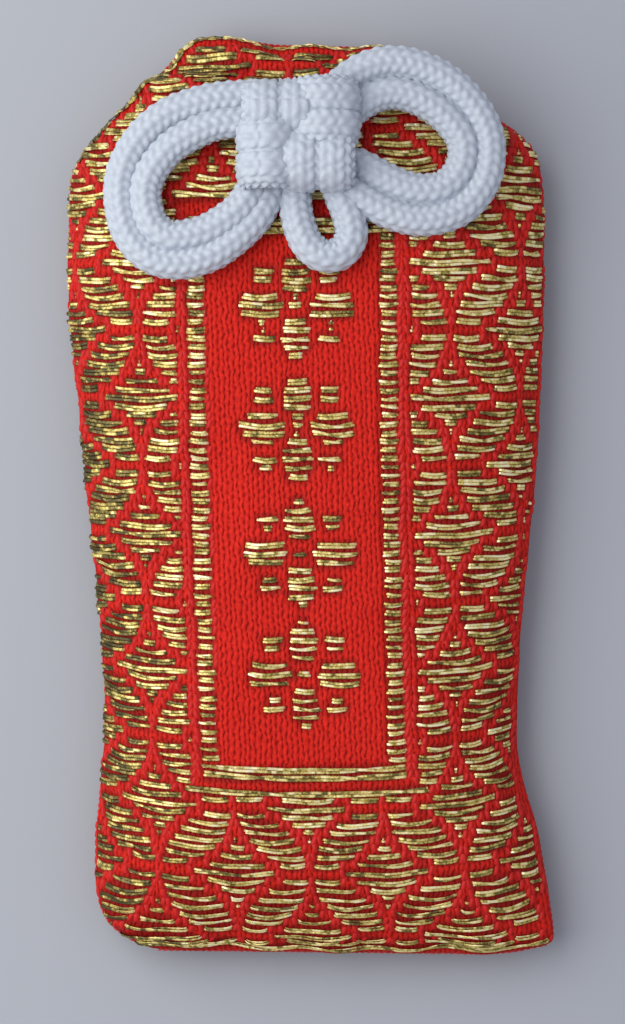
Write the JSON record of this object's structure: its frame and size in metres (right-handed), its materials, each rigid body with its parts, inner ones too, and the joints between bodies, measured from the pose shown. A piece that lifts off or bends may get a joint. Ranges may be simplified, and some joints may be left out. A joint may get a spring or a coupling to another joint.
{
  "type": "omamori charm",
  "caption": "Padded brocade pouch sewn shut round a wooden tablet in a paper sleeve, closed by a braided cord tied in a double bow with a small hanging loop.",
  "frame": {"origin": "centre of the pouch's outline, on the surface that its back lies on", "axes": "+X to the right of the front, +Y to the mouth at the top, +Z out of the front"},
  "size_m": [0.0458, 0.086, 0.0145],
  "materials": {
    "brocade": "red silk ground with raised gold wefts",
    "lining_cloth": "plain unbleached cotton",
    "seam_thread": "twisted red sewing thread",
    "wadding": "loose cotton wadding",
    "card": "grey-brown pulp board",
    "paper": "soft handmade paper",
    "tablet_wood": "planed cypress, bare",
    "braided_cord": "white braided silk cord"
  },
  "bodies": {
    "pouch": {"front_brocade": "brocade", "back_brocade": "brocade", "front_lining": "lining_cloth", "back_lining": "lining_cloth", "left_seam_thread": "seam_thread", "right_seam_thread": "seam_thread", "foot_seam_thread": "seam_thread", "mouth_thread": "seam_thread", "wadding_pad": "wadding", "stiffener_card": "card", "paper_sleeve": "paper", "wood_tablet": "tablet_wood", "lacing_cord": "braided_cord"},
    "bow": {"bow_knot": "braided_cord"},
    "left_loops": {"left_loop_outer": "braided_cord", "left_loop_inner": "braided_cord"},
    "right_loops": {"right_loop_outer": "braided_cord", "right_loop_inner": "braided_cord"},
    "hang_loop": {"hang_loop": "braided_cord"}
  },
  "joints": [
    {"name": "bow_lift", "type": "hinge", "parent": "pouch", "child": "bow", "pos_m": [-0.0003, 0.038, 0.00995], "axis": [-1, 0, 0], "range_deg": [0, 45]},
    {"name": "left_loops_lift", "type": "hinge", "parent": "bow", "child": "left_loops", "pos_m": [-0.0045, 0.03278, 0.01105], "axis": [-0.1897, 0.9818, 0], "range_deg": [0, 60]},
    {"name": "right_loops_lift", "type": "hinge", "parent": "bow", "child": "right_loops", "pos_m": [0.00465, 0.03445, 0.01105], "axis": [0.0751, -0.9972, 0], "range_deg": [0, 60]},
    {"name": "hang_loop_lift", "type": "hinge", "parent": "bow", "child": "hang_loop", "pos_m": [0.00095, 0.0269, 0.01105], "axis": [-1, 0, 0], "range_deg": [0, 75]}
  ]
}
